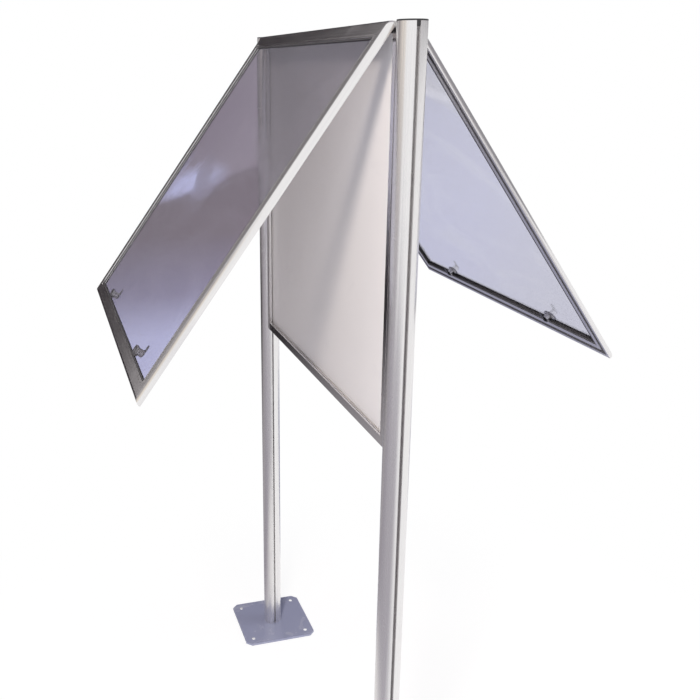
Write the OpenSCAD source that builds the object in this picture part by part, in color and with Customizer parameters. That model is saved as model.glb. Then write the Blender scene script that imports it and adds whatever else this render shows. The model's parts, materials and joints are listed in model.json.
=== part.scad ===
// Double-sided lockable notice board on two round posts, with two doors hinged along the top.
// X runs along the board, the front door is on the -Y side, Z is up.
// The origin is on the ground, midway between the posts. Both doors are drawn standing open.

/* [Overall] */
// Height of the post tubes above the ground
post_top = 2027; // [1700:1:2400]
// Distance between the centres of the two posts
post_spacing = 1070; // [800:1:1400]
// Height of a closed door, from its hinge line to its lower edge
door_h = 900; // [600:1:1000]
// Angle from vertical at which both doors stand open
open_angle = 36; // [0:1:90]

/* [Posts] */
// Outside diameter of a post
post_d = 60; // [56:1:80]
// Wall of the post tube
post_wall = 3; // [2.5:0.1:4]
// Width of the groove down each side of a post
groove_w = 8; // [6:0.5:10]
// Thickness of the lips beside the groove
groove_lip = 4; // [3:0.5:5]
// Width of the pocket behind the lips
pocket_w = 15; // [13:0.5:16]
// Depth of the pocket behind the lips
pocket_depth = 6.5; // [5:0.5:7.5]
// Wall around the pocket
pocket_wall = 2; // [1.5:0.1:2.5]
// Outside diameter of the four screw channels inside a post
channel_d = 13; // [11:0.5:14]
// Thickness of a post cap's disc
cap_t = 3; // [2:0.5:6]
// Height of the cap's tab in the top of the groove
cap_tab_h = 9; // [5:0.5:18]

/* [Base plates] */
// Side of a square base plate
plate_size = 250; // [200:1:320]
// Thickness of a base plate
plate_t = 8; // [6:0.5:12]
// Leg of the cut across a plate's corner
plate_chamfer = 18; // [5:0.5:25]
// Distance of a ground bolt's hole from the plate's sides
bolt_edge = 29; // [22:0.5:45]
// Diameter of a ground bolt's hole
bolt_hole_d = 12; // [9:0.5:14]
// Diameter of the screws that hold a plate to its post
foot_screw_d = 8; // [6:0.5:8]
// Length of those screws
foot_screw_len = 33; // [25:1:50]

/* [Board frame] */
// Width of the frame's bars, seen from the front
frame_w = 22; // [20:0.5:26]
// Depth of the frame from front to rear
frame_depth = 32; // [30:0.5:36]
// Gap between the frame and a post
post_gap = 4; // [2:0.5:8]
// Height of the frame's top above the hinge line
frame_rise = 5; // [4.5:0.1:6]
// How far a closed door hangs below the frame
door_overhang = 14; // [10:0.5:16]
// Thickness of a bar's outer web, under the panel slot
web = 5; // [4:0.5:6]
// Depth of the slot that holds the panel's edge
slot_depth = 6; // [4:0.5:7]
// Width of the trough between the panel and a lip, which the lock cams drop into
trough_w = 5; // [4.6:0.1:5.4]
// Width of the thin rib along a lip's inner edge
rib_w = 1.6; // [1.4:0.1:2]
// Width of the groove beside that rib
lip_groove_w = 2.2; // [1.5:0.1:2.6]
// Depth of that groove
lip_groove_depth = 3; // [1.5:0.1:3.5]
// Wall around the cleat chamber in a lip
lip_wall = 2; // [1.5:0.1:2.2]
// Width of the cleat chamber in a lip
lip_chamber_w = 2.8; // [2.2:0.1:3]
// Thickness of the panel's core
core_t = 4; // [3:0.5:5]
// Thickness of each white sheet on the core
sheet_t = 1; // [0.8:0.1:1.2]
// Thickness of the rubber channel round the panel's edge
edge_gasket_t = 1; // [0.8:0.1:1.2]
// Arm of a frame corner cleat
frame_cleat_len = 50; // [30:1:80]

/* [Post brackets] */
// Length of a bracket
bracket_len = 90; // [60:1:120]
// Distance of a bracket from the end of the frame's stile
bracket_from_end = 20; // [15:1:60]
// Thickness of the bracket's head in the pocket
bracket_head_t = 4.3; // [3:0.1:4.5]
// Diameter of the bracket screws
bracket_screw_d = 4; // [3:0.5:4]
// Distance of a bracket screw from the bracket's middle
bracket_screw_at = 25; // [15:1:26]

/* [Door hinges] */
// Diameter of the bead along a door's top edge
bead_d = 7; // [6:0.1:7.2]
// Wall of the socket that holds the bead
socket_wall = 2; // [1.6:0.1:2.2]
// Thickness of the neck between the bead and the door
neck_t = 2; // [1.5:0.1:2]
// Distance of the hinge line from the door's inner plane
pivot_inset = 1; // [0.5:0.1:1.2]
// Distance from the frame's side to the end of the socket
hinge_end = 12; // [11.5:0.5:40]
// Depth of the hinge line below the top of the posts
pivot_drop = 3; // [3:0.5:10]

/* [Doors] */
// Thickness of a door
door_t = 14; // [13:0.5:16]
// Width of a door rail's hollow body
rail_w = 31; // [30:0.5:36]
// Width of the rail's front flange, which laps the glazing
flange_w = 7; // [6:0.5:10]
// Thickness of that flange
flange_t = 2.5; // [2:0.1:3]
// Radius of the rounded outer edge of the stiles and the bottom rail
nose_r = 12; // [8:0.5:12]
// Radius of the rounded outer edge of the hinge rail
hinge_nose_r = 6; // [4:0.5:6]
// Wall of the hollow rails
rail_wall = 1.8; // [1.4:0.1:2]
// Gap between a closed door and the frame
door_gap = 1; // [0.8:0.1:1.5]
// How far a door stops short of the frame's side
door_side_gap = 0.5; // [0.5:0.1:3]
// Thickness of the glazing
glass_t = 3; // [3:0.5:4]
// How far the glazing reaches under the flange
glass_lap = 5; // [3:0.5:6]
// Thickness of the gasket between the flange and the glazing
front_gasket_t = 1; // [0.8:0.1:1.2]
// How far that gasket shows past the flange
gasket_lip = 3; // [1:0.5:3.5]
// Width of the fine groove in the rail's front face
line_w = 2.4; // [1:0.1:3]
// Depth of the fine groove
line_depth = 1.4; // [0.6:0.1:1.6]
// Width of the rail's face between the fine groove and its inner edge
line_edge = 3.8; // [3:0.1:4]
// Distance of the seal groove from the door's outer edge
seal_start = 8; // [8:0.5:9]
// Width of the seal groove
seal_w = 11; // [8:0.5:11]
// Depth of the seal groove
seal_depth = 4; // [3:0.5:4]
// Arm of a door corner cleat
door_cleat_len = 55; // [35:1:80]

/* [Locks] */
// Distance between the two locks of a door
lock_spread = 550; // [300:1:700]
// Height of a lock's axis above the door's lower edge
lock_rise = 52; // [52:0.5:60]
// Diameter of a lock's barrel
barrel_d = 18; // [17:0.5:19]
// How far the barrel reaches past the inner face of the glazing
barrel_reach = 14.5; // [14:0.1:14.6]
// Diameter of the plug that the key turns
plug_d = 12; // [11:0.5:12]
// Length of a lock's outer and inner plates
lock_plate_len = 45; // [42:0.5:60]
// Width of those plates
lock_plate_w = 20; // [19:0.5:20.5]
// Thickness of those plates
lock_plate_t = 2; // [1.5:0.1:2]
// Thickness of a cam
cam_t = 2; // [1.6:0.1:2]
// Width of a cam's arm
cam_w = 10; // [8:0.5:12]
// How far a locked cam reaches down behind the frame's lip
cam_catch = 8; // [5:0.5:9]
// Diameter of the screws that clamp a lock to the glazing
lock_screw_d = 3; // [2.5:0.1:3.5]

/* [Hidden] */
$fn = 96;

// Overrun of a cutting shape past the face it cuts
over = 1;
// Running clearance of a turning fit, on the radius
fit = 0.05;
// Clearance between pieces that are pushed or screwed together
slip = 0.1;

// Post sizes that follow from the driving ones
post_r = post_d / 2;
post_half = post_spacing / 2;
groove_face = sqrt(post_r * post_r - groove_w * groove_w / 4);
pocket_out = groove_face - groove_lip;
pocket_in = pocket_out - pocket_depth;
channel_bite = 0.5;
channel_at = post_r - post_wall - channel_d / 2 + channel_bite;
foot_screw_head_d = 2 * foot_screw_d;
foot_screw_head_h = foot_screw_d * 0.55;
cap_leg_w = 12;
cap_leg_h = 12;
cap_leg_t = 2;

// Frame sizes. y values are distances from the board's middle plane
frame_half = post_half - post_r - post_gap;
frame_y = frame_depth / 2;
panel_t = core_t + 2 * sheet_t;
slot_y = panel_t / 2 + edge_gasket_t;
lip_y = panel_t / 2 + trough_w;
block_h = web + slot_depth;
chamber_top = frame_w - lip_groove_depth - lip_wall;
pivot_z = post_top - pivot_drop;
frame_top_z = pivot_z + frame_rise;
door_z0 = pivot_z - door_h;
frame_z0 = door_z0 + door_overhang;
frame_h = frame_top_z - frame_z0;
frame_mid_z = frame_z0 + frame_h / 2;

// Hinge sizes
inner_y = frame_y + door_gap;
pivot_y = inner_y + pivot_inset;
bead_r = bead_d / 2;
bore_r = bead_r + fit;
socket_r = bore_r + socket_wall;
swing_gap = 0.3;
relief_r = socket_r + swing_gap;
mouth_half_angle = 68;
neck_angle = 45;
neck_bite = 1;
socket_len = 2 * (frame_half - hinge_end);
bead_len = socket_len - 2 * slip;

// Door sizes. e is the distance in from the door's outer edge, t outwards from its inner plane
door_w = 2 * (frame_half - door_side_gap);
door_mid_z = door_z0 + door_h / 2;
rail_total = rail_w + flange_w;
seal_end = seal_start + seal_w;
glass_t1 = door_t - flange_t - front_gasket_t;
glass_t0 = glass_t1 - glass_t;
glass_e = rail_total - glass_lap;
tongue_depth = 1.2;
tongue_t0 = 1.5;
tongue_t1 = 3.5;
chamber_t0 = seal_depth + rail_wall;
chamber_t1 = door_t - rail_wall;
chamber_e1 = rail_w - rail_wall - tongue_depth;
hinge_chamber_e0 = relief_r + rail_wall;
door_cleat_e0 = nose_r - 1;
door_cleat_e1 = chamber_e1 - 1;
seal_gap = 0.3;
seal_proud = door_gap - seal_gap;
seal_lift = 0.4;
bulb_side = 1.8;
inner_gasket_t0 = 0.5;
gasket_rib_w = 1.2;
gasket_rib_out = 1.5;
gasket_ribs = 3;

// Lock sizes. t values as for the doors
lock_z = door_z0 + lock_rise;
barrel_t0 = glass_t0 - barrel_reach;
bezel_t = 1;
bezel_t1 = glass_t1 + lock_plate_t + bezel_t;
plug_recess = 0.3;
collar_r = plug_d / 2 + 1.5;
collar_t0 = glass_t1 + 0.5;
hub_gap = 0.2;
hub_t1 = barrel_t0 - hub_gap;
hub_t0 = hub_t1 - cam_t;
cam_clear = 0.3;
arm_t1 = lip_y - cam_clear - inner_y;
arm_t0 = arm_t1 - cam_t;
cam_len = lock_rise - door_overhang - frame_w + cam_catch;
hub_r = 8.5;
crank_r = 7;
tang_w = 7;
cam_screw_r = 2.4;
cam_screw_head_r = 4.5;
cam_screw_head_h = 2.5;
cam_screw_depth = 8;
key_w = 1.8;
key_h = 7;
key_depth = 4;
lock_screw_at = lock_plate_len / 2 - 5;
lock_screw_head_r = lock_screw_d;
lock_screw_head_h = 1.6;
lock_screw_grip = 1.5;
glass_hole_gap = 0.2;

// Corners of a rectangle: side along X, side along Z, turn about Y
CORNERS = [[-1, -1, 0], [1, -1, -90], [-1, 1, 90], [1, 1, 180]];

// Shared shapes

// Extrudes a profile drawn in (y, z) along X, centred
module along_x(len) rotate([90, 0, 90]) linear_extrude(height = len, center = true) children();

// Extrudes a shape drawn in (x, z) along Y, from y0 to y1
module along_y(y0, y1) translate([0, y1, 0]) rotate([90, 0, 0]) linear_extrude(height = y1 - y0) children();

// A bar along X whose ends are cut at 45 degrees over the width of the profile
module mitred_bar(len, width, depth) intersection() {
    along_x(len) children();
    along_y(-depth, depth) polygon([
        [-len / 2, 0], [len / 2, 0], [len / 2 - width, width], [width - len / 2, width]]);
}

// Puts a bar drawn on the lower edge of a rectangle on another of its edges
module on_bottom(w, h) translate([0, 0, -h / 2]) children();
module on_top(w, h) translate([0, 0, h / 2]) mirror([0, 0, 1]) children();
module on_left(w, h) translate([-w / 2, 0, 0]) rotate([0, 90, 0]) children();
module on_right(w, h) translate([w / 2, 0, 0]) rotate([0, -90, 0]) children();

// Puts a piece drawn at a lower left corner on all four corners of a rectangle
module on_corners(w, h) for (c = CORNERS)
    translate([c[0] * w / 2, 0, c[1] * h / 2]) rotate([0, c[2], 0]) children();

// A flat block centred in X and Z
module slab(w, h, y0, y1) translate([-w / 2, y0, -h / 2]) cube([w, y1 - y0, h]);

// An L-shaped corner cleat whose arms lie between two distances from the outer edges
module cleat(e0, e1, len, y0, y1) along_y(y0, y1) union() {
    translate([e0, e0]) square([len, e1 - e0]);
    translate([e0, e0]) square([e1 - e0, len]);
}

// A plate with round ends, drawn in (x, z)
module stadium(len, width) union() {
    square([len - width, width], center = true);
    for (side = [-1, 1]) translate([side * (len - width) / 2, 0]) circle(d = width);
}

// A countersunk screw along +Z with its head at the origin
module countersunk(shaft_r, head_r, head_h, len) union() {
    cylinder(r1 = head_r, r2 = shaft_r, h = head_h);
    cylinder(r = shaft_r, h = len);
}

// The recess in a screw's head, a hexagon drawn about the origin
module hex_recess(width, depth) translate([0, 0, -over])
    cylinder(d = width, h = depth + over, $fn = 6);

// Posts

module post_section() difference() {
    union() {
        difference() {
            circle(r = post_r);
            circle(r = post_r - post_wall);
        }
        intersection() {
            circle(r = post_r);
            union() {
                for (side = [-1, 1]) translate([side * (pocket_in - pocket_wall + post_r) / 2, 0])
                    square([post_r - pocket_in + pocket_wall, pocket_w + 2 * pocket_wall], center = true);
                for (turn = [45:90:315]) rotate(turn) translate([channel_at, 0]) circle(d = channel_d);
            }
        }
    }
    for (side = [-1, 1]) {
        translate([side * (pocket_in + pocket_out) / 2, 0])
            square([pocket_depth, pocket_w], center = true);
        translate([side * (pocket_out + post_r) / 2, 0])
            square([post_r - pocket_out + over, groove_w], center = true);
    }
    for (turn = [45:90:315]) rotate(turn) translate([channel_at, 0]) circle(r = foot_screw_d / 2 + slip);
}

module post(x) color("silver") translate([x, 0, plate_t])
    linear_extrude(height = post_top - plate_t) post_section();

module post_cap(x) color("#202022") translate([x, 0, post_top]) union() {
    cylinder(r = post_r, h = cap_t);
    for (side = [-1, 1]) {
        translate([0, 0, -cap_tab_h]) linear_extrude(height = cap_tab_h + over) intersection() {
            circle(r = post_r);
            translate([side * (pocket_out + slip + post_r) / 2, 0])
                square([post_r - pocket_out - slip, groove_w - 2 * slip], center = true);
        }
        translate([0, 0, -cap_leg_h]) linear_extrude(height = cap_leg_h + over) intersection() {
            difference() {
                circle(r = post_r - post_wall - slip);
                circle(r = post_r - post_wall - slip - cap_leg_t);
            }
            translate([0, side * post_r / 2]) square([cap_leg_w, post_r], center = true);
        }
    }
}

// Base plates

module plate_outline() polygon([
    for (turn = [0:90:270], leg = [0, 1])
        let (far = plate_size / 2, near = plate_size / 2 - plate_chamfer,
             px = leg == 0 ? near : far, py = leg == 0 ? -far : -near)
        [px * cos(turn) - py * sin(turn), px * sin(turn) + py * cos(turn)]]);

module at_foot_screws(x) translate([x, 0, 0])
    for (turn = [45:90:315]) rotate([0, 0, turn]) translate([channel_at, 0, 0]) children();

module base_plate(x) color("#9aa0b4") difference() {
    translate([x, 0, 0]) linear_extrude(height = plate_t) plate_outline();
    for (sx = [-1, 1], sy = [-1, 1])
        translate([x + sx * (plate_size / 2 - bolt_edge), sy * (plate_size / 2 - bolt_edge), -over])
            cylinder(d = bolt_hole_d, h = plate_t + 2 * over);
    at_foot_screws(x)
        countersunk(foot_screw_d / 2 + slip, foot_screw_head_d / 2 + slip, foot_screw_head_h, plate_t + over);
    at_foot_screws(x) translate([0, 0, -over]) cylinder(r = foot_screw_head_d / 2 + slip, h = over);
}

module base_screws(x) color("gray") at_foot_screws(x) difference() {
    countersunk(foot_screw_d / 2, foot_screw_head_d / 2, foot_screw_head_h, foot_screw_len);
    hex_recess(foot_screw_d * 0.75, foot_screw_head_h * 0.8);
}

// Board frame

// Profile of the frame's bars: X is the distance from the middle plane, Y from the outer edge
module frame_section() for (side = [0, 1]) mirror([side, 0]) difference() {
    union() {
        square([frame_y, web]);
        translate([slot_y, 0]) square([lip_y - slot_y, block_h]);
        translate([lip_y, 0]) square([frame_y - lip_y, frame_w]);
    }
    translate([lip_y + rib_w, lip_wall]) square([lip_chamber_w, chamber_top - lip_wall]);
    translate([lip_y + rib_w, frame_w - lip_groove_depth]) square([lip_groove_w, lip_groove_depth + over]);
}

module frame_bar(len) mitred_bar(len, frame_w, frame_depth) frame_section();

// The screws of one bracket, along X into the post at the right
module at_bracket_screws() for (end = [-1, 1], step = [-1, 1])
    translate([frame_half - web, 0, frame_mid_z
        + end * (frame_h / 2 - bracket_from_end - bracket_len / 2) + step * bracket_screw_at])
        rotate([0, 90, 0]) children();

module bracket_screw_shape(gap) countersunk(bracket_screw_d / 2 + gap, bracket_screw_d - slip + gap,
    bracket_screw_d / 2 + slip + gap, web + post_gap + groove_lip);

module frame_top_rail() color("silver") difference() {
    union() {
        translate([0, 0, frame_mid_z]) on_top(2 * frame_half, frame_h) frame_bar(2 * frame_half);
        for (side = [-1, 1]) translate([0, side * pivot_y, pivot_z])
            along_x(socket_len) circle(r = socket_r);
    }
    for (side = [0, 1]) mirror([0, side, 0]) translate([0, pivot_y, pivot_z]) {
        along_x(socket_len + 2 * over) circle(r = bore_r);
        along_x(socket_len + 2 * over) mouth();
    }
}

// The sector in which the neck swings, drawn about the hinge line
module mouth() let (far = 2 * socket_r, a = mouth_half_angle) polygon([
    [0, 0], [far * cos(a), -far * sin(a)], [far, -far * sin(a)],
    [far, far * sin(a)], [far * cos(a), far * sin(a)]]);

module frame_bottom_rail() color("silver") translate([0, 0, frame_mid_z])
    on_bottom(2 * frame_half, frame_h) frame_bar(2 * frame_half);

module frame_right_stile() color("silver") difference() {
    translate([0, 0, frame_mid_z]) on_right(2 * frame_half, frame_h) frame_bar(frame_h);
    at_bracket_screws() bracket_screw_shape(slip);
}

module frame_left_stile() mirror([1, 0, 0]) frame_right_stile();

module frame_corner_cleats() color("gray") translate([0, 0, frame_mid_z]) for (side = [0, 1])
    mirror([0, side, 0]) on_corners(2 * frame_half, frame_h)
        cleat(lip_wall + slip, chamber_top - slip, frame_cleat_len,
            lip_y + rib_w + slip, lip_y + rib_w + lip_chamber_w - slip);

// A layer of the panel, as large as the slots take in
module panel_layer(y0, y1) translate([0, 0, frame_mid_z])
    slab(2 * (frame_half - web - edge_gasket_t), frame_h - 2 * (web + edge_gasket_t), y0, y1);

module panel_core() color("#b9b4a8") panel_layer(-core_t / 2, core_t / 2);
module rear_panel_sheet() color("#f2f2f2") panel_layer(core_t / 2, core_t / 2 + sheet_t);
module front_panel_sheet() color("#f2f2f2") panel_layer(-core_t / 2 - sheet_t, -core_t / 2);

module panel_edge_gasket() color("#202022") difference() {
    translate([0, 0, frame_mid_z])
        slab(2 * (frame_half - web), frame_h - 2 * web, -slot_y, slot_y);
    translate([0, 0, frame_mid_z])
        slab(2 * (frame_half - block_h), frame_h - 2 * block_h, -slot_y - over, slot_y + over);
    panel_layer(-panel_t / 2, panel_t / 2);
}

// A bracket bar on the right: a tongue through the groove and a head in the pocket behind it
module bracket_bar(z) difference() {
    translate([0, 0, z]) union() {
        translate([frame_half, 0, 0]) rotate([0, 90, 0])
            linear_extrude(height = post_half - pocket_out + slip + bracket_head_t - frame_half)
                stadium(bracket_len, groove_w - 2 * slip);
        translate([post_half - pocket_out + slip, -pocket_w / 2 + over, -bracket_len / 2 + groove_w])
            cube([bracket_head_t, pocket_w - 2 * over, bracket_len - 2 * groove_w]);
    }
    translate([frame_half - over, 0, z - (bracket_len - groove_w) / 2]) rotate([0, 90, 0])
        cylinder(r = groove_w / 4, h = post_gap + groove_w);
}

module post_brackets() color("#202022") for (side = [0, 1]) mirror([side, 0, 0]) difference() {
    for (end = [-1, 1])
        bracket_bar(frame_mid_z + end * (frame_h / 2 - bracket_from_end - bracket_len / 2));
    at_bracket_screws() translate([0, 0, web]) cylinder(
        r = bracket_screw_d / 2 + slip, h = post_gap + groove_lip + slip);
}

module post_bracket_screws() color("gray") for (side = [0, 1]) mirror([side, 0, 0])
    at_bracket_screws() difference() {
        bracket_screw_shape(0);
        hex_recess(bracket_screw_d * 0.6, bracket_screw_d / 2);
    }

// Doors, drawn closed on the rear side

// Swings a closed rear door's piece open, and mirrors it to the front for side -1
module hung(side) {
    if (side > 0) swung() children();
    else mirror([0, 1, 0]) swung() children();
}

module swung() translate([0, pivot_y, pivot_z]) rotate([open_angle, 0, 0])
    translate([0, -pivot_y, -pivot_z]) children();

// Puts a piece drawn about the door's middle, on its inner plane, in the closed door
module in_door() translate([0, inner_y, door_mid_z]) children();

// Outline of a rail: X is t, Y is e
module rail_outline(r) union() {
    intersection() {
        square([door_t, rail_w]);
        union() {
            translate([0, r]) square([door_t, rail_w]);
            square([door_t - r, rail_w]);
            translate([door_t - r, r]) circle(r = r);
        }
    }
    translate([door_t - flange_t, 0]) translate([0, rail_w - over]) square([flange_t, flange_w + over]);
}

// Hollow of a rail, from e0 inwards, which takes the corner cleats
module rail_chamber(r, e0) union() {
    intersection() {
        translate([chamber_t0, e0]) square([chamber_t1 - chamber_t0, chamber_e1 - e0]);
        union() {
            translate([0, r]) square([door_t, rail_w]);
            translate([door_t - r, r]) circle(r = r - rail_wall);
        }
    }
    translate([rail_wall, seal_end + rail_wall])
        square([chamber_t0 - rail_wall + slip, chamber_e1 - seal_end - rail_wall]);
}

module rail_section(r, e0) difference() {
    rail_outline(r);
    rail_chamber(r, e0);
    translate([-over, seal_start]) square([seal_depth + over, seal_w]);
    translate([tongue_t0, rail_w - tongue_depth]) square([tongue_t1 - tongue_t0, tongue_depth + over]);
    translate([door_t - line_depth, rail_total - line_edge - line_w]) square([line_depth + over, line_w]);
}

module door_bar(len, r, e0) mitred_bar(len, rail_total, 2 * door_t) rail_section(r, e0);

// Room round the hinge socket, along the door's top edge
module hinge_relief() translate([0, pivot_y, pivot_z]) along_x(door_w + 2 * over) circle(r = relief_r);

module door_top_rail(side) color("silver") hung(side) union() {
    difference() {
        in_door() on_top(door_w, door_h) door_bar(door_w, hinge_nose_r, hinge_chamber_e0);
        hinge_relief();
    }
    translate([0, pivot_y, pivot_z]) along_x(bead_len) union() {
        circle(r = bead_r);
        rotate(-neck_angle) translate([0, -neck_t / 2]) square([relief_r + neck_bite, neck_t]);
    }
}

module door_bottom_rail(side) color("silver") hung(side)
    in_door() on_bottom(door_w, door_h) door_bar(door_w, nose_r, rail_wall);

module door_left_stile(side) color("silver") hung(side) difference() {
    in_door() on_left(door_w, door_h) door_bar(door_h, nose_r, rail_wall);
    hinge_relief();
}

module door_right_stile(side) color("silver") hung(side) difference() {
    in_door() on_right(door_w, door_h) door_bar(door_h, nose_r, rail_wall);
    hinge_relief();
}

module door_corner_cleats(side) color("gray") hung(side) in_door() on_corners(door_w, door_h)
    cleat(door_cleat_e0, door_cleat_e1, door_cleat_len, chamber_t0 + slip, chamber_t1 - slip);

// A band between two distances from the door's edge, over a range of t
module band(e0, e1, t0, t1) difference() {
    slab(door_w - 2 * e0, door_h - 2 * e0, t0, t1);
    slab(door_w - 2 * e1, door_h - 2 * e1, t0 - over, t1 + over);
}

// Draws along t at a lock's axis: shapes lie in (x, z)
module at_lock(end) translate([end * lock_spread / 2, inner_y, lock_z]) children();

module door_glazing(side) color("#c8cbe6", 0.5) hung(side) difference() {
    in_door() slab(door_w - 2 * glass_e, door_h - 2 * glass_e, glass_t0, glass_t1);
    for (end = [-1, 1]) at_lock(end) along_y(glass_t0 - over, glass_t1 + over) union() {
        circle(r = barrel_d / 2 + glass_hole_gap);
        at_lock_screws() circle(r = lock_screw_d / 2 + glass_hole_gap);
    }
}

module door_outer_gasket(side) color("#202022") hung(side) in_door()
    band(rail_w + slip, rail_total + gasket_lip, glass_t1, door_t - flange_t);

module door_inner_gasket(side) color("#202022") hung(side) in_door() union() {
    band(rail_w + slip, rail_total - gasket_rib_out, inner_gasket_t0, glass_t0);
    band(rail_w - tongue_depth + slip, rail_w + over, tongue_t0 + slip, tongue_t1 - slip);
    for (i = [0:gasket_ribs - 1])
        let (step = (glass_t0 - inner_gasket_t0 - gasket_rib_w) / (gasket_ribs - 1),
             t = inner_gasket_t0 + i * step)
        band(rail_w + slip, rail_total, t, t + gasket_rib_w);
}

module door_seal(side) color("#202022") hung(side) in_door() union() {
    band(seal_start + slip, seal_end - slip, seal_lift, seal_depth - slip);
    band(seal_start + bulb_side, seal_end - bulb_side, -seal_proud, seal_lift + over);
}

// Locks

module at_lock_screws() for (side = [-1, 1]) translate([side * lock_screw_at, 0]) children();

module lock_plates(side) color("silver") hung(side) for (end = [-1, 1]) at_lock(end)
    along_y(glass_t0 - lock_plate_t, glass_t0) difference() {
        stadium(lock_plate_len, lock_plate_w);
        circle(r = barrel_d / 2 + slip);
        at_lock_screws() circle(r = lock_screw_d / 2 + slip);
    }

module lock_plate_screws(side) color("gray") hung(side) for (end = [-1, 1], s = [-1, 1])
    at_lock(end) translate([s * lock_screw_at, 0, 0]) difference() {
        union() {
            along_y(glass_t0 - lock_plate_t - lock_screw_head_h, glass_t0 - lock_plate_t)
                circle(r = lock_screw_head_r);
            along_y(glass_t0 - lock_plate_t - slip, glass_t1 + lock_screw_grip)
                circle(r = lock_screw_d / 2);
        }
        along_y(glass_t0 - lock_plate_t - lock_screw_head_h - over,
                glass_t0 - lock_plate_t - lock_screw_head_h / 2)
            for (turn = [0, 90]) rotate(turn)
                square([lock_screw_d * 1.2, lock_screw_d * 0.25], center = true);
    }

module lock_housing(side, end) color("gray") hung(side) at_lock(end) difference() {
    union() {
        along_y(glass_t1, glass_t1 + lock_plate_t) stadium(lock_plate_len, lock_plate_w);
        along_y(glass_t1, bezel_t1) circle(d = lock_plate_w - 2 * slip);
        along_y(barrel_t0, glass_t1 + slip) circle(d = barrel_d);
    }
    along_y(barrel_t0 - over, bezel_t1 + over) circle(r = plug_d / 2 + fit);
    along_y(collar_t0, bezel_t1 + over) circle(r = collar_r + fit);
    along_y(glass_t1 - over, glass_t1 + lock_screw_grip + slip) at_lock_screws()
        circle(r = lock_screw_d / 2 + slip);
}

module lock_plug(side, end) color("#8c8c90") hung(side) at_lock(end) difference() {
    union() {
        along_y(hub_t1, bezel_t1 - plug_recess) circle(d = plug_d);
        along_y(collar_t0 + slip, bezel_t1 - plug_recess) circle(r = collar_r);
        along_y(hub_t0, hub_t1 + over) square([tang_w, tang_w], center = true);
    }
    along_y(bezel_t1 - plug_recess - key_depth, bezel_t1) square([key_w, key_h], center = true);
    along_y(hub_t0 - over, hub_t0 + cam_screw_depth) circle(r = cam_screw_r + slip);
}

// Points up the door when unlocked, its arm cranked inwards past the frame's lip
module lock_cam(side, end) color("#303034") hung(side) at_lock(end) difference() {
    union() {
        along_y(hub_t0, hub_t1) circle(r = hub_r);
        along_y(arm_t0, hub_t1) translate([-cam_w / 2, crank_r]) square([cam_w, cam_t]);
        along_y(arm_t0, arm_t1) union() {
            translate([-cam_w / 2, crank_r]) square([cam_w, cam_len - crank_r - cam_w / 2]);
            translate([0, cam_len - cam_w / 2]) circle(d = cam_w);
        }
    }
    along_y(hub_t0 - over, hub_t1 + over) square([tang_w, tang_w], center = true);
}

module lock_cam_screw(side, end) color("#303034") hung(side) at_lock(end) difference() {
    union() {
        along_y(hub_t0 - cam_screw_head_h, hub_t0) circle(r = cam_screw_head_r);
        along_y(hub_t0 - slip, hub_t0 + cam_screw_depth - slip) circle(r = cam_screw_r);
    }
    along_y(hub_t0 - cam_screw_head_h - over, hub_t0 - cam_screw_head_h / 2)
        for (turn = [0, 90]) rotate(turn) square([cam_screw_r * 2.4, cam_screw_r / 2], center = true);
}

post(-post_half);  // left_post
post(post_half);  // right_post
post_cap(-post_half);  // left_post_cap
post_cap(post_half);  // right_post_cap
base_plate(-post_half);  // left_base_plate
base_plate(post_half);  // right_base_plate
base_screws(-post_half);  // left_base_screws
base_screws(post_half);  // right_base_screws
frame_top_rail();
frame_bottom_rail();
frame_left_stile();
frame_right_stile();
frame_corner_cleats();
panel_core();
front_panel_sheet();
rear_panel_sheet();
panel_edge_gasket();
post_brackets();
post_bracket_screws();
door_top_rail(-1);  // front_door_top_rail
door_bottom_rail(-1);  // front_door_bottom_rail
door_left_stile(-1);  // front_door_left_stile
door_right_stile(-1);  // front_door_right_stile
door_corner_cleats(-1);  // front_door_corner_cleats
door_glazing(-1);  // front_door_glazing
door_outer_gasket(-1);  // front_door_outer_gasket
door_inner_gasket(-1);  // front_door_inner_gasket
door_seal(-1);  // front_door_seal
lock_plates(-1);  // front_lock_plates
lock_plate_screws(-1);  // front_lock_plate_screws
lock_housing(-1, -1);  // front_left_lock_housing
lock_plug(-1, -1);  // front_left_lock_plug
lock_cam(-1, -1);  // front_left_lock_cam
lock_cam_screw(-1, -1);  // front_left_lock_cam_screw
lock_housing(-1, 1);  // front_right_lock_housing
lock_plug(-1, 1);  // front_right_lock_plug
lock_cam(-1, 1);  // front_right_lock_cam
lock_cam_screw(-1, 1);  // front_right_lock_cam_screw
door_top_rail(1);  // rear_door_top_rail
door_bottom_rail(1);  // rear_door_bottom_rail
door_left_stile(1);  // rear_door_left_stile
door_right_stile(1);  // rear_door_right_stile
door_corner_cleats(1);  // rear_door_corner_cleats
door_glazing(1);  // rear_door_glazing
door_outer_gasket(1);  // rear_door_outer_gasket
door_inner_gasket(1);  // rear_door_inner_gasket
door_seal(1);  // rear_door_seal
lock_plates(1);  // rear_lock_plates
lock_plate_screws(1);  // rear_lock_plate_screws
lock_housing(1, -1);  // rear_left_lock_housing
lock_plug(1, -1);  // rear_left_lock_plug
lock_cam(1, -1);  // rear_left_lock_cam
lock_cam_screw(1, -1);  // rear_left_lock_cam_screw
lock_housing(1, 1);  // rear_right_lock_housing
lock_plug(1, 1);  // rear_right_lock_plug
lock_cam(1, 1);  // rear_right_lock_cam
lock_cam_screw(1, 1);  // rear_right_lock_cam_screw
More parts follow.
